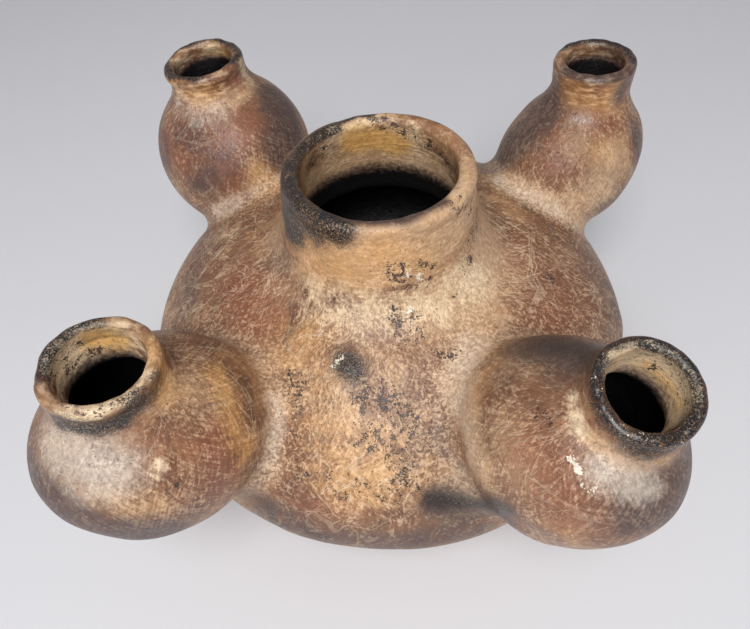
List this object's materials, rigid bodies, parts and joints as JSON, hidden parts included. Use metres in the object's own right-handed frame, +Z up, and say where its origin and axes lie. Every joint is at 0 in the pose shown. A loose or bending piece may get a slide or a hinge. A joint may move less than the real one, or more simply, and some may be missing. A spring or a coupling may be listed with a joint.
{
  "type": "ceramic vessel",
  "caption": "Squat hollow earthenware vessel with a wide central neck and small spouted side jars luted to its shoulder",
  "frame": {"origin": "middle of the flat resting face under the chamber, at the chamber's axis", "axes": "+Z up along the chamber's axis; -Y is the front, where the two larger-looking jars stand left and right; +X is to the right seen from the front"},
  "size_m": [0.2644, 0.2634, 0.172],
  "materials": {
    "chamber_clay": "burnished low-fired earthenware, mottled tan to red-brown with pale root marks",
    "joint_clay": "smoothed earthenware with pale dust in the hollows",
    "neck_clay": "ochre earthenware with a dark fire cloud on one side and black specks",
    "jar_clay": "burnished earthenware, red-brown to dark brown",
    "smoked_lip_clay": "smoke-blackened and partly worn earthenware lip"
  },
  "bodies": {
    "root": {"base_bowl": "chamber_clay", "shoulder_dome": "chamber_clay", "central_neck": "neck_clay", "central_lip": "neck_clay", "luting_ring_front_left": "joint_clay", "bulb_front_left": "jar_clay", "spout_front_left": "jar_clay", "lip_front_left": "smoked_lip_clay", "luting_ring_front_right": "joint_clay", "bulb_front_right": "jar_clay", "spout_front_right": "jar_clay", "lip_front_right": "smoked_lip_clay", "luting_ring_rear_left": "joint_clay", "bulb_rear_left": "jar_clay", "spout_rear_left": "jar_clay", "lip_rear_left": "smoked_lip_clay", "luting_ring_rear_right": "joint_clay", "bulb_rear_right": "jar_clay", "spout_rear_right": "jar_clay", "lip_rear_right": "smoked_lip_clay"}
  },
  "joints": []
}
